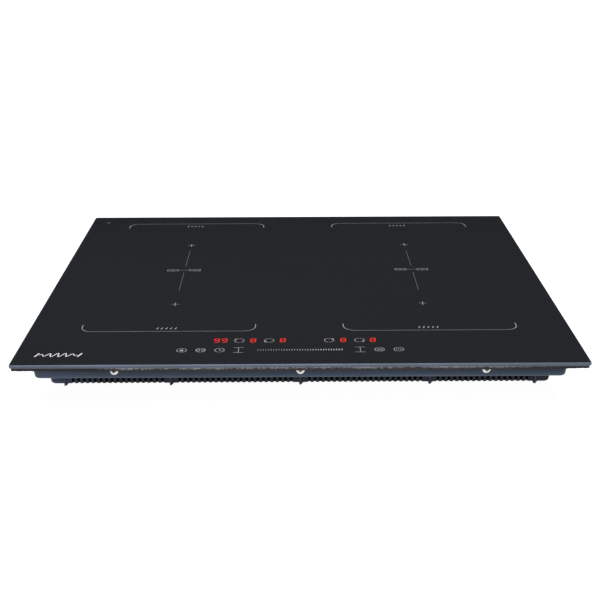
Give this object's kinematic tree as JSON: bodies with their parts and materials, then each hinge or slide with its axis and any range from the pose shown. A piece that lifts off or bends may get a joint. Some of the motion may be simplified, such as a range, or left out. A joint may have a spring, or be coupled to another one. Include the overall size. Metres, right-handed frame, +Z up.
{
  "type": "induction cooktop",
  "caption": "Flat black glass induction cooktop to build into a worktop: foam-sealed glass over a shallow steel pan and a slotted plastic tray, with touch controls at the front edge.",
  "frame": {"origin": "on the plane that the feet stand on, under the middle of the glass", "axes": "+Z up through the glass, -Y to the user, +X to the user's right"},
  "size_m": [0.59, 0.52, 0.052],
  "materials": {
    "ceramic_glass": "polished black glass ceramic with printed marks, ground edge",
    "foam": "matt closed-cell foam",
    "silicone": "matt",
    "galvanised_steel": "satin zinc coat",
    "black_steel": "satin black enamel",
    "black_plastic": "satin moulded plastic",
    "zinc": "bright zinc plating",
    "ferrite": "matt dark grey",
    "copper": "enamelled copper wire",
    "white_plastic": "matt",
    "aluminium": "satin",
    "mica": "matt insulation sheet",
    "grey_plastic": "matt",
    "circuit_board": "satin green board",
    "display": "clear red lens"
  },
  "bodies": {
    "cooktop": {"bottom_tray": "black_plastic", "cable_clamp": "grey_plastic", "capacitor_left": "grey_plastic", "capacitor_right": "grey_plastic", "coil_former_left_back": "ferrite", "coil_former_left_front": "ferrite", "coil_former_right_back": "ferrite", "coil_former_right_front": "ferrite", "coil_sensor_left_back": "white_plastic", "coil_sensor_left_front": "white_plastic", "coil_sensor_right_back": "white_plastic", "coil_sensor_right_front": "white_plastic", "coil_tray_left": "aluminium", "coil_tray_right": "aluminium", "coil_winding_left_back": "copper", "coil_winding_left_front": "copper", "coil_winding_right_back": "copper", "coil_winding_right_front": "copper", "control_lead": "grey_plastic", "fan_housing_left": "black_plastic", "fan_housing_right": "black_plastic", "filter_board": "circuit_board", "filter_choke": "copper", "front_screw_1": "zinc", "front_screw_2": "zinc", "front_screw_3": "zinc", "glass_rail_back": "galvanised_steel", "glass_rail_front": "galvanised_steel", "glass_rail_left": "galvanised_steel", "glass_rail_right": "galvanised_steel", "glass_top": "ceramic_glass", "heat_sink_left": "aluminium", "heat_sink_right": "aluminium", "housing_pan": "black_steel", "insulation_sheet_left": "mica", "insulation_sheet_right": "mica", "left_screw": "zinc", "power_board_left": "circuit_board", "power_board_right": "circuit_board", "rear_screw_1": "zinc", "rear_screw_2": "zinc", "rear_screw_3": "zinc", "right_screw": "zinc", "seal_strip_back": "foam", "seal_strip_front": "foam", "seal_strip_left": "foam", "seal_strip_right": "foam", "silicone_bead": "silicone", "terminal_block": "white_plastic", "timer_display": "display", "touch_board": "circuit_board", "touch_board_tray": "grey_plastic", "vent_grille": "black_plastic", "zone_display_1": "display", "zone_display_2": "display", "zone_display_3": "display", "zone_display_4": "display"},
    "fan_rotor_left": {"fan_rotor_left": "grey_plastic"},
    "fan_rotor_right": {"fan_rotor_right": "grey_plastic"},
    "terminal_cover": {"terminal_cover": "black_plastic"}
  },
  "joints": [
    {"name": "fan_spin_left", "type": "hinge", "parent": "cooktop", "child": "fan_rotor_left", "pos_m": [-0.095, 0.165, 0.0175], "axis": [0, 0, 1], "continuous": true},
    {"name": "fan_spin_right", "type": "hinge", "parent": "cooktop", "child": "fan_rotor_right", "pos_m": [0.095, 0.165, 0.0175], "axis": [0, 0, 1], "continuous": true},
    {"name": "terminal_cover_hinge", "type": "hinge", "parent": "cooktop", "child": "terminal_cover", "pos_m": [-0.203, 0.17, 0.0023], "axis": [-1, 0, 0], "range_deg": [0, 100]}
  ]
}
